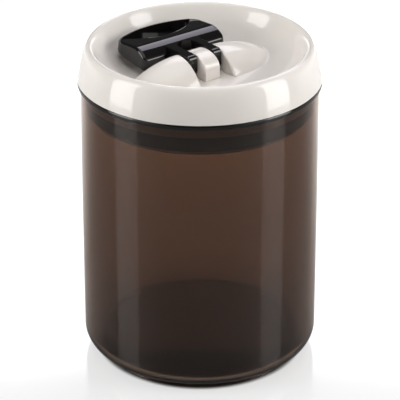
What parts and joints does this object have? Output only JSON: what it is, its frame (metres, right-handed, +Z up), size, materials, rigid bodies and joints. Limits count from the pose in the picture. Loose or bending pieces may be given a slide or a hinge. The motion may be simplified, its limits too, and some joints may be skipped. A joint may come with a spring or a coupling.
{
  "type": "lever-sealed canister",
  "caption": "Round tinted clear food canister with a white basin lid and a black flip lever that squeezes a seal ring against the jar's wall.",
  "frame": {"origin": "centre of the foot's underside, which is the bottom centre of the canister", "axes": "+Z up along the jar's axis; X along the lever's hinge; +Y from the hinge towards the lever's paddle"},
  "size_m": [0.12, 0.12, 0.1636],
  "materials": {
    "tinted_clear": "clear brown-tinted gloss",
    "white_gloss": "gloss",
    "black_gloss": "high gloss",
    "white_satin": "satin",
    "steel": "plain turned",
    "seal": "smooth silicone",
    "bush": "natural, low friction"
  },
  "bodies": {
    "canister": {"canister_body": "tinted_clear"},
    "lid": {"lid_shell": "white_gloss", "hinge_cover_left": "white_gloss", "hinge_cover_right": "white_gloss", "cover_screws": "steel", "hinge_pin_left": "steel", "hinge_pin_right": "steel", "lid_liner": "white_satin", "liner_screws": "steel", "rod_bush": "bush", "rod_seal": "seal", "seal_ring": "seal"},
    "lever": {"lever": "black_gloss", "crank_pin": "steel"},
    "plunger": {"plunger": "white_gloss", "clamp_plate": "white_satin", "clamp_washer": "steel", "clamp_screw": "steel", "screw_cap": "white_satin"}
  },
  "joints": [
    {"name": "lid_lift", "type": "slide", "parent": "canister", "child": "lid", "axis": [0, 0, 1], "range_m": [0, 0.06]},
    {"name": "lever_hinge", "type": "hinge", "parent": "lid", "child": "lever", "pos_m": [0, 0, 0.1552], "axis": [1, 0, 0], "range_deg": [0, 90]},
    {"name": "plunger_slide", "type": "slide", "parent": "lid", "child": "plunger", "axis": [0, 0, 1], "range_m": [-0.003, 0], "deforming": ["seal_ring"]}
  ],
  "couplings": [
    {"joint": "plunger_slide", "follows": "lever_hinge", "m_per_rad": -0.0019098}
  ]
}
